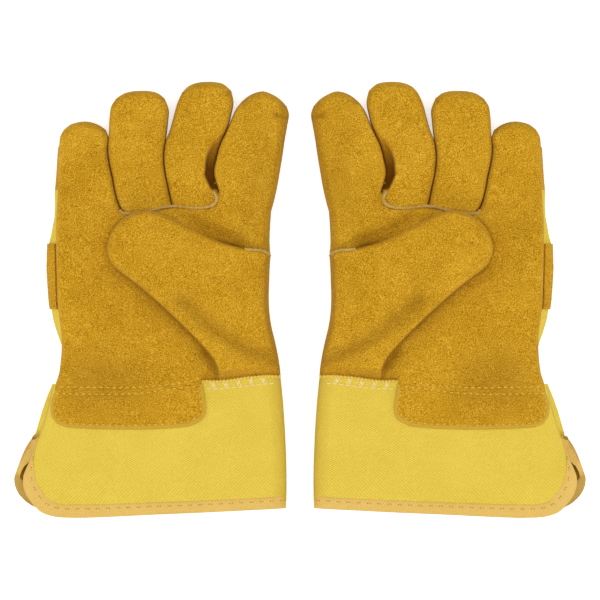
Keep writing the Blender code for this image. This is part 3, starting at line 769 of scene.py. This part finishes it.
def speckled(name, low, high, size, roughness=0.9):
    """A plain finish with small specks of this size in mm, darkened by painted shade where a thread goes into
    its needle holes.
    """
    made, tree, shader = new_material(name)
    tone = node(tree, "ValToRGB", {"Fac": noise(tree, size)}, stops=((0.25, low), (0.75, high)))
    surfaced(tree, shader, shaded(tree, tone.outputs["Color"], "crease", "#5f3d0a"), roughness)
    return made


FINISHES = {
    "suede": suede(),
    # Canvas and tape are the same weave, the tape less yellow
    "canvas": twill("yellow cotton drill", "#d0ad30", "#f7de5e", "#94640f"),
    "binding": twill("woven cotton binding tape", "#d6aa4e", "#f5d076", "#8c6a24"),
    # A cut strip of leather, paler and duller than the nap
    "welt": speckled("pale welt leather", "#b08a3c", "#d7b66c", 1.2),
    # Off-white cloth and rubber inside the glove
    "lining": speckled("brushed cotton lining", "#e4d8b8", "#f2ead2", 2.0),
    "elastic": speckled("white rubber elastic", "#ddd5c0", "#efe8d6", 1.0),
    # Twisted thread shines a little more than cloth
    "thread": speckled("gold sewing thread", "#e4b432", "#f3cb4c", 0.5, 0.7),
    "pale_thread": speckled("cream overlock thread", "#f8dd84", "#fff0ae", 0.5, 0.7),
    "edge_thread": speckled("yellow sewing thread", "#e6c14c", "#f8df6c", 0.5, 0.7),
}


# Pieces

def to_pair(points, hand):
    """From a glove's own plan, in mm, to the pair's frame in metres."""
    moved = np.array(points, float) * MM
    moved[..., 0] = HANDS[hand] * (HALF_PAIR * MM - moved[..., 0])
    return moved


def mesh_piece(name, points, faces, cloth, finish, **shades):
    """A mesh with its places on the cloth, and with shades per point that its finish reads."""
    data = bpy.data.meshes.new(name)
    data.from_pydata(points.tolist(), [], faces)
    corners = np.zeros(len(data.loops), int)
    data.loops.foreach_get("vertex_index", corners)
    layer = data.uv_layers.new(name="cloth")
    layer.data.foreach_set("uv", np.asarray(cloth)[corners].astype(np.float32).ravel())
    for kind, values in shades.items():
        if values is not None:
            data.attributes.new(kind, "FLOAT", "POINT").data.foreach_set("value", np.float32(values).ravel())
    data.materials.append(FINISHES[finish])
    piece = bpy.data.objects.new(name, data)
    bpy.context.scene.collection.objects.link(piece)
    return piece


def select_only(piece):
    bpy.ops.object.select_all(action="DESELECT")
    bpy.context.view_layer.objects.active = piece
    piece.select_set(True)


def thicken(piece, thickness):
    """Thickens a sheet inwards."""
    select_only(piece)
    solid = piece.modifiers.new("thickness", "SOLIDIFY")
    solid.thickness = thickness * MM
    solid.offset = -1
    bpy.ops.object.modifier_apply(modifier=solid.name)


def face_out(piece):
    """Turns a closed mesh's faces outwards."""
    select_only(piece)
    bpy.ops.object.mode_set(mode="EDIT")
    bpy.ops.mesh.select_all(action="SELECT")
    bpy.ops.mesh.normals_make_consistent(inside=False)
    bpy.ops.object.mode_set(mode="OBJECT")


def finish_piece(piece, hand, nodes=(), finger=None):
    """Smooths a piece, with its cut edges left sharp, and hangs it on the hand.

    With a finger it is not hung on the hand, and its place is baked into its mesh instead.
    """
    select_only(piece)
    bpy.ops.object.shade_smooth_by_angle(angle=math.radians(SHARP_TURN))
    if finger:
        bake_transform(piece)
    else:
        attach(piece, f"{hand}_hand")
    for name in nodes:
        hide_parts(f"{hand}_{name}")


def cloth_lengths(grid):
    """Where each point of a grid lies on its sheet, in metres, measured along the sheet from its middle."""
    across = np.cumsum(np.linalg.norm(np.diff(grid, axis=1, prepend=grid[:, :1]), axis=-1), axis=1)
    across -= across[:, across.shape[1] // 2][:, None]
    up = lengths(grid[:, grid.shape[1] // 2])
    return np.stack((across, np.broadcast_to(up[:, None], across.shape)), axis=-1).reshape(-1, 2) * MM


def panel(name, grid, finish, nodes, faces_up=True, finger=None, crease=None, rim=None):
    """One sewn panel, for both gloves, from a grid of points on its outer face."""
    rows, columns = grid.shape[:2]
    index = np.arange(rows * columns).reshape(rows, columns)
    faces = np.stack((index[:-1, :-1], index[:-1, 1:], index[1:, 1:], index[1:, :-1]), axis=-1).reshape(-1, 4)
    for hand in HANDS:
        turned = faces if (hand == "right") == faces_up else faces[:, ::-1]
        piece = mesh_piece(f"{hand}_{name}", to_pair(grid, hand).reshape(-1, 3), turned.tolist(),
                           cloth_lengths(grid), finish, crease=crease, rim=rim)
        thicken(piece, THICKNESS[finish])
        finish_piece(piece, hand, nodes, finger)


def tube_faces(index):
    """The walls and the two ends of a closed strip, from the numbers of its points ring by ring."""
    turned = np.roll(index, -1, axis=1)
    walls = np.stack((index[:-1], turned[:-1], turned[1:], index[1:]), axis=-1).reshape(-1, 4)
    return walls.tolist() + [index[0][::-1].tolist(), index[-1].tolist()]


def tube(name, rings, finish, nodes):
    """A closed strip, for both gloves, from rings of points along it."""
    faces = tube_faces(np.arange(rings.shape[0] * rings.shape[1]).reshape(rings.shape[:2]))
    for hand in HANDS:
        points = to_pair(rings, hand).reshape(-1, 3)
        piece = mesh_piece(f"{hand}_{name}", points, faces, cloth_lengths(rings), finish)
        face_out(piece)
        finish_piece(piece, hand, nodes)


# Painted shade on the leather, and darker spots

def edge_shade(places, *names, reach=3.0, strength=0.28):
    """A band along turned edges: painted shade there, or the patch's paler rim."""
    near = np.min([distance(places, name) for name in names], axis=0)
    return strength * ramp(near, reach, reach / 2)


def painted_shade_lines(places, table):
    return np.max([strength * groove(places, name, width)
                   for name, (strength, width) in table.items()], axis=0)


def darker_spots(places):
    """Broad darker spots, with no edge."""
    return np.max([strength * np.exp(-(((places - centre) / reach) ** 2).sum(axis=-1))
                   for centre, reach, strength in DARKER_SPOTS], axis=0)


# Painted shadow on the palm beside the thumb's lower edge, fading away from it
def painted_thumb_shadow(places):
    strength, fade = PAINTED_THUMB_SHADOW
    return strength * np.exp(-distance(places, "thumb_lower") / fade)


# Painted shade in the crotch between thumb and index finger, its strength read off over u
def painted_crotch_shade(places):
    return profile(places[..., 0], CROTCH_SHADE) * groove(places, "crotch_corner", CROTCH_WIDTH)


# Palm and its lining, which has every fifth point of the palm
plan = patchwork(LINES["palm_bottom"], LINES["knuckles"], LINES["hand_left"], LINES["palm_side"], 130, 150)
palm = raised(plan, palm_top(plan))
# Painted shade along the palm's side and welt, in its hollow, along and beside the thumb, in the crotch;
# darker spots
shade = np.max([edge_shade(plan, "palm_right", reach=6.5),
                edge_shade(plan, "set_in", reach=1.7, strength=0.5), painted_shade_lines(plan, PALM_SHADE_LINES), darker_spots(plan),
                painted_thumb_shadow(plan), painted_crotch_shade(plan)], axis=0)
panel("palm", palm, "suede", ["palm_leather"], crease=shade)
lining = palm[::5, ::5] * (LINING_NARROWER, 1, 1) - (0, 0, LINING_DROP)
panel("palm_liner", lining, "lining", ["palm_lining"])

# Fingers: a leather front, and a back of canvas with a leather tip cap, or all of leather
for finger, sides in FINGERS.items():
    first, last = KNUCKLES.index(sides["left"][0]), KNUCKLES.index(sides["right"][0])
    base = LINES["knuckles"][first:last + 1]
    outline = [LINES[f"{finger}_{side}"] for side in ("tip", "left", "right")]
    plan = patchwork(base, *outline, 84, 56)
    # Painted shade along the finger's sides and welt, in the index crease and the valley; darker spots on the
    # index
    shades = [edge_shade(plan, f"{finger}_right", reach=6.5 if finger == "index" else 3.4)]
    if finger in ("little", "index"):
        top = palm_top(plan)
    else:
        top = set_in_top(plan, finger)
        shades.append(edge_shade(plan, f"{finger}_left", reach=2.6, strength=0.22))
        shades.append(edge_shade(plan, "set_in", reach=1.2, strength=0.2))
    if finger == "index":
        shades += [painted_shade_lines(plan, INDEX_SHADE_LINES), darker_spots(plan)]
    # Painted shade in the valley beside the index finger, darker where it is deeper
    if finger == "middle":
        shades.append(VALLEY_SHADE * valley(plan))
    panel(f"{finger}_upper", raised(plan, top), "suede", [f"{finger}_front"], finger=finger,
          crease=np.max(shades, axis=0))
    plan = patchwork(base, *outline, 40, 30)
    under = raised(plan, finger_under(plan, finger))
    if finger == "little":
        under = allowed(bulged(under, "little_left", BELLY))
    if sides["cap"] is None:
        panel("index_under", under, "suede", ["index_back"], faces_up=False, finger=finger)
    else:
        cut = int(np.searchsorted(eased(len(under)), sides["cap"]))
        inner = [line for line in INNER_SIDES if line.startswith(finger)]
        canvas = under[:cut + 1]
        # Painted shade on the canvas back where it touches the next finger
        panel(f"{finger}_under", canvas, "canvas", [f"{finger}_back"], faces_up=False, finger=finger,
              crease=edge_shade(canvas[..., :2], *inner, reach=1.4, strength=0.5))
        panel(f"{finger}_cap", under[cut:] - (0, 0, CAP_DROP), "suede", [f"{finger}_tip"],
              faces_up=False, finger=finger)

# Thumb: its root stays on the hand, and the rest lies over the palm, rising from its fold
plan = patchwork(LINES["root_bottom"], LINES["root_top"], LINES["root_left"], LINES["root_right"], 100, 44)
# Painted shade in the thenar folds and along the root's side and top
shade = np.max([painted_shade_lines(plan, ROOT_SHADE_LINES), edge_shade(plan, "root_right", reach=3.6, strength=0.35),
                edge_shade(plan, "root_top", reach=1.5)], axis=0)
panel("thumb_root", raised(plan, thumb_top(plan)), "suede", ["thumb_base"], crease=shade)
outline = [LINES[f"thumb_{side}"] for side in ("base", "tip", "lower", "upper")]
plan = patchwork(*outline, 100, 84)
# Painted shade along the thumb's lower edge, fading out towards its tip, and in its fold
lower_shade = edge_shade(plan, "thumb_lower", reach=0.9, strength=0.6)
lower_shade *= ramp(distance(plan, "thumb_tip"), 0, TIP_FADE)
panel("thumb_upper", raised(plan, thumb_top(plan)), "suede", ["thumb_front"], finger="thumb",
      crease=np.maximum(painted_shade_lines(plan, THUMB_SHADE_LINES), lower_shade))
plan = patchwork(*outline, 50, 40)
panel("thumb_under", raised(plan, thumb_under(plan)), "suede", ["thumb_back"], faces_up=False,
      finger="thumb")

# Back of the hand
plan = patchwork(LINES["back_bottom"], LINES["knuckles"], LINES["hand_left"], LINES["back_right"], 60, 60)
back = allowed(bulged(raised(plan, back_under(plan)), "hand_left", BELLY))
panel("hand_back", back, "canvas", ["back_fabric"], faces_up=False)

# Strap across the back, lying on it
low, high = STRAP_ENDS
left = np.array([place for place in LINES["hand_left"] if low <= place[1] <= high])
right = np.array([place for place in LINES["back_right"] if low <= place[1] <= high]) - (STRAP_INSET, 0)
plan = patchwork(np.array((left[0], right[0])), np.array((left[-1], right[-1])), left, right, 24, 60)
strap = bulged(raised(plan, back_under(plan)), "hand_left", BELLY)
outwards = np.cross(np.gradient(strap, axis=0), np.gradient(strap, axis=1))
strap += outwards / np.linalg.norm(outwards, axis=-1)[..., None] * (LEATHER + STRAP_GAP)
panel("strap", strap, "suede", ["knuckle_strap"], faces_up=False)

# Elastic inside the wrist, gathered
u, y = np.meshgrid(np.linspace(*ELASTIC_U, 60), np.linspace(*ELASTIC_Y, 8))
gathers = BACK_FLOOR + ELASTIC_LIFT + GATHER_HEIGHT * np.sin(u * GATHER_RADIANS)
panel("elastic_band", np.stack((u, y, gathers), axis=-1), "elastic", ["wrist_elastic"])

# Cuff front, from the middle of its binding to its top edge
tape_middle = (LINES["binding_inner"] + LINES["binding_outer"]) / 2
corner = len(tape_middle) // 2
left = np.concatenate((tape_middle[:corner][::-1], LINES["cuff_seam"]))
plan = patchwork(tape_middle[corner - 1:], LINES["cuff_top"], left, LINES["cuff_right"], 90, 130)
# Painted shade along the cuff's right side and at its seam
strength, fade = CUFF_SIDE_SHADE
shade = np.maximum(strength * np.clip(1 - distance(plan, "cuff_right") / fade, 0, 1),
                   edge_shade(plan, "cuff_seam", reach=1.0, strength=0.25))
panel("cuff_upper", raised(plan, cuff_upper(plan)), "canvas", ["cuff_front"], crease=shade)

# Cuff back, from the middle of its binding to the wrist
lower_outer = along(LINES["lower_edge"], np.linspace(0, 1, LOWER_POINTS))
lower_width = profile(lower_outer[:, 1], LOWER_WIDTH)
lower_inner = lower_outer + to_left(lower_outer) * lower_width[:, None]
tape_middle = (lower_inner + lower_outer) / 2
left = np.concatenate((tape_middle[:LOWER_CORNER][::-1], LINES["cuff_seam"]))
plan = patchwork(tape_middle[LOWER_CORNER - 1:], LINES["back_bottom"], left, LINES["cuff_right"], 50, 70)
lower = allowed(bulged(raised(plan, cuff_lower(plan)), "cuff_seam", CUFF_BELLY))
# Painted shade on the canvas inside the slit
panel("cuff_lower", lower, "canvas", ["cuff_back"], faces_up=False,
      crease=CUFF_INSIDE_SHADE * within(lower, *CUFF_INSIDE))

# Patch sewn to the cuff, paler along its pressed rim. It ends where the palm's bottom edge starts.
left, right = LINES["patch_left"], LINES["patch_right"]
plan = patchwork(LINES["patch_bottom"], trace(OUTLINES["palm_bottom"][:5]), left, right, 40, 130)
panel("patch", raised(plan, patch_top(plan)), "suede", ["pulse_patch"], crease=darker_spots(plan),
      rim=edge_shade(plan, "patch_left", "patch_bottom", "patch_right", reach=3.0, strength=0.75))


# Bindings round the cuff's edges

def binding(name, inner, outer, surface, inside, node_name, tilt=0.0):
    """A tape folded over a cuff's edge, from its two edges in the plan. It may tilt down outwards."""
    below = [(across, -lift) for across, lift in BINDING_PROFILE[-2::-1]]
    rings = []
    for across, lift in [*BINDING_PROFILE, *below]:
        place = inner + (outer - inner) * across
        middle = surface(place) + inside * CANVAS / 2
        height = middle + lift * (CANVAS / 2 + BINDING_TAPE) + tilt * (BINDING_HINGE - across)
        rings.append(raised(place, height))
    tube(name, np.stack(rings, axis=1), "binding", [node_name])


binding("binding_upper", LINES["binding_inner"], LINES["binding_outer"], cuff_upper, -1, "cuff_front_binding")
binding("binding_lower", lower_inner, lower_outer, cuff_lower, 1, "cuff_back_binding",
        BINDING_TILT * ramp(lower_outer[:, 1], *TILT_Y))


# Welts: thin leather cords in the seams

def piping(name, surface, node_name, radius, lift, smoothed=9):
    """A cord along its line, lifted off a surface whose height is averaged over neighbouring points."""
    line = along(LINES[name], np.linspace(0, 1, 90))
    height = np.pad(surface(line) + lift, smoothed // 2, mode="edge")
    centre = raised(line, np.convolve(height, np.ones(smoothed) / smoothed, mode="valid"))
    side = raised(to_left(line), np.zeros(len(line)))
    turns = np.linspace(0, 2 * math.pi, 10, endpoint=False)
    rings = [centre + radius * (side * math.cos(a) + np.array((0, 0, math.sin(a)))) for a in turns]
    tube(name, np.stack(rings, axis=1), "welt", [node_name])


piping("finger_piping", palm_top, "finger_welt", radius=0.95, lift=1.0)
piping("thumb_piping", thumb_top, "thumb_welt", radius=0.85, lift=0.2)


# Sewing thread

def stitches(name, runs, surface, width=0.68, finish="thread", hole_shade=0.9):
    """One object for a row of stitches. Each is a short thread whose ends go down into needle holes, darkened
    there by painted shade.
    """
    start, end = np.array(runs).transpose(1, 0, 2)
    sunk = np.abs(2 * STITCH_SHARES - 1) ** 3
    turns = np.linspace(0, 2 * math.pi, STITCH_SIDES, endpoint=False)[:, None]
    place = start[:, None] + (end - start)[:, None] * STITCH_SHARES[:, None]
    way = (end - start) / np.linalg.norm(end - start, axis=1)[:, None]
    side = np.stack((-way[:, 1], way[:, 0], np.zeros(len(way))), axis=-1)[:, None, None]
    ring = side * np.cos(turns) + np.array((0, 0, THREAD_FLATNESS)) * np.sin(turns)
    middle = raised(place, surface(place) + THREAD_LIFT - THREAD_SINK * sunk)
    radius = width / 2 * (1 - THREAD_TAPER * sunk)
    rings = middle[:, :, None] + radius[:, None, None] * ring
    # Painted shade where the thread goes down into its needle holes
    shade = np.broadcast_to(np.minimum(hole_shade * sunk, DARKEST_HOLE_SHADE)[:, None], rings.shape[:3])
    points = rings.reshape(-1, 3)
    index = np.arange(len(points)).reshape(rings.shape[:3])
    faces = [face for thread in index for face in tube_faces(thread)]
    for hand in HANDS:
        piece = mesh_piece(f"{hand}_{name}", to_pair(points, hand), faces, points[:, :2] * MM, finish,
                           crease=shade)
        face_out(piece)
        finish_piece(piece, hand)


def row(line, pitch, length):
    """Starts and ends of the stitches along a line."""
    total = lengths(line)[-1]
    starts = np.arange(ROW_START, total - length, pitch) / total
    return list(zip(along(line, starts), along(line, starts + length / total)))


def overlock():
    """Threads over the cuff's cut edge: a line below it, and groups of three that cross up to it."""
    low, high = LINES["overlock_low"], LINES["overlock_high"]
    total = lengths(low)[-1]
    groups = np.arange(GROUP_START, total - GROUP_END, GROUP_PITCH)
    runs = row(low, pitch=GROUP_PITCH / 2, length=3.5)
    for upper, lower in GROUP_THREADS:
        runs += list(zip(along(high, (groups + upper) / total), along(low, (groups + lower) / total)))
    return runs


def whipped():
    """Short threads round the cuff's cut edge."""
    high = LINES["overlock_high"]
    total = lengths(high)[-1]
    foot = along(high, np.arange(ROW_START, total, WHIP_PITCH) / total)
    return list(zip(foot - WHIP_DOWN, foot + WHIP_UP))


def on_strap(places):
    """The strap's height at its turned-up end."""
    end = strap[:, :strap.shape[1] // 2].reshape(-1, 3)
    end = end[end[:, 2] > HAND_SEAM / 2]
    return end[np.argmin(np.linalg.norm(end[:, :2] - places[..., None, :], axis=-1), axis=-1), 2]


def on_binding(places):
    return cuff_upper(places) + BINDING_TAPE


low, high = STRAP_ENDS
start, end = STRAP_STITCH_U
across_strap = [((start + k, y), (end + k, y)) for y in (low + STRAP_STITCH_IN, high - STRAP_STITCH_IN)
                for k in (0.0, STRAP_STITCH_NEXT)]
stitches("strap_stitching", across_strap, on_strap)
wrist_rows = row(LINES["stitch_upper"], WRIST_PITCH, 3.0) + row(LINES["stitch_lower"], WRIST_PITCH, 3.0)
stitches("wrist_stitching", wrist_rows, patch_top)
stitches("patch_stitching", row(LINES["stitch_patch"], WRIST_PITCH, 2.8), patch_top)
stitches("overlock_stitching", overlock(), cuff_upper, width=0.6, finish="pale_thread", hole_shade=0.35)
stitches("edge_stitching", whipped(), cuff_upper, width=1.1, finish="edge_thread", hole_shade=0.3)

# The binding's seam starts past the top of the slit, where the tape is too narrow for it
inner, outer = (np.array(OUTLINES[f"binding_{side}"][2:]) for side in ("inner", "outer"))
seam = inner + BINDING_SEAM * (outer - inner)
stitches("binding_stitching", row(trace(seam), pitch=6.2, length=2.2), on_binding, width=0.7, hole_shade=1.6)


# Stage, light and camera

scene = bpy.context.scene
scene.view_settings.view_transform = "Standard"
bpy.ops.mesh.primitive_plane_add(size=8, location=(0, 0, -0.0004))
floor = bpy.context.object
floor.name = "white_floor"

# White paper, which glows a little to the camera only, so that it is white right up to the gloves
made, tree, shader = new_material("white paper sweep")
shader.inputs["Base Color"].default_value = (0.9, 0.9, 0.9, 1)
shader.inputs["Roughness"].default_value = 1.0
shader.inputs["Emission Color"].default_value = (1, 1, 1, 1)
path = node(tree, "LightPath")
glow = node(tree, "Math", {0: path.outputs["Is Camera Ray"], 1: 0.6}, operation="MULTIPLY")
tree.links.new(glow.outputs[0], shader.inputs["Emission Strength"])
floor.data.materials.append(made)

# A room that lights softly and is white to the camera
world = bpy.data.worlds.new("white room")
scene.world = world
world.use_nodes = True
tree = world.node_tree
path = node(tree, "LightPath")
seen = node(tree, "Mix", {0: path.outputs["Is Camera Ray"], 6: (0.4, 0.4, 0.4, 1), 7: (1, 1, 1, 1)},
            data_type="RGBA")
tree.links.new(seen.outputs[2], tree.nodes["Background"].inputs["Color"])


def lamp(name, place, turn, size, power):
    """A rectangular lamp: place and size in metres, turn in degrees, power in watts."""
    data = bpy.data.lights.new(name, "AREA")
    data.shape = "RECTANGLE"
    data.size, data.size_y = size
    data.energy = power
    made = bpy.data.objects.new(name, data)
    made.location = place
    made.rotation_euler = [math.radians(angle) for angle in turn]
    scene.collection.objects.link(made)


lamp("softbox below the hem", place=(0, -1.1, 1.2), turn=(42, 0, 0), size=(1.6, 0.9), power=6.6)
lamp("softbox overhead", place=(0, 0.3, 1.9), turn=(-6, 0, 0), size=(1.6, 1.6), power=11.5)
for side in (-1, 1):
    lamp("softbox beside the pair", place=(1.2 * side, 0, 0.5), turn=(0, 68 * side, 0), size=(0.5, 1.2),
         power=5)

# A long lens from far above, so that the plan is seen with hardly any perspective
data = bpy.data.cameras.new("camera")
data.lens = LENS
data.sensor_width = SENSOR
data.clip_end = 20
camera = bpy.data.objects.new("camera", data)
camera.location = (0, -SEEN_LOWER * MM, (SEEN_WIDTH * LENS / SENSOR + HAND_SEAM) * MM)
scene.collection.objects.link(camera)
scene.camera = camera
